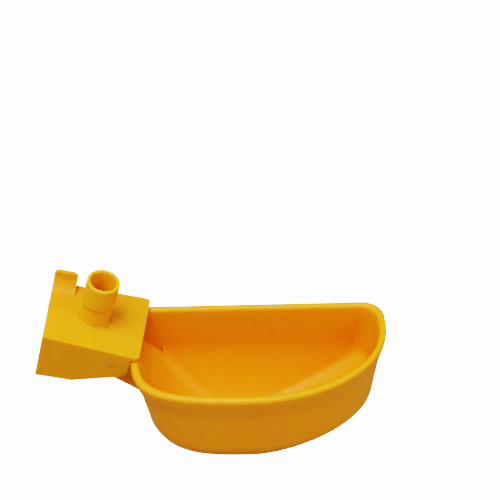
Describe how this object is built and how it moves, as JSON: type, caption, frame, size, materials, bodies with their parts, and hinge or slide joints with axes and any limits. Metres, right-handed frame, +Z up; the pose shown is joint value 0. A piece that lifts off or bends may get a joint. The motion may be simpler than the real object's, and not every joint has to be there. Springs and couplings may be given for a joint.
{
  "type": "poultry drinking cup",
  "caption": "Self-filling drinking cup for poultry: a long D-shaped trough bowl pivots on a valve box with a barbed hose inlet.",
  "frame": {"origin": "on the flat underside that the bowl stands on, midway between the cheeks of its neck", "axes": "+X along the bowl away from the valve box, +Y towards the flat back, +Z up out of the bowl"},
  "size_m": [0.1355, 0.0515, 0.0746],
  "materials": {
    "bowl_plastic": "satin moulded",
    "box_plastic": "satin moulded",
    "seal_rubber": "matt",
    "spring_steel": "drawn wire"
  },
  "bodies": {
    "bowl": {"drinking_bowl": "bowl_plastic", "seal_pad": "seal_rubber"},
    "box": {"valve_box": "box_plastic", "valve_spring": "spring_steel"}
  },
  "joints": [
    {"name": "box_tilt", "type": "hinge", "parent": "bowl", "child": "box", "pos_m": [-0.044, 0, 0.0446], "axis": [0, 1, 0], "range_deg": [-16.8, 0], "stiffness_Nm_per_rad": 0.03, "springref_deg": 20.05, "deforming": ["valve_spring"]}
  ]
}
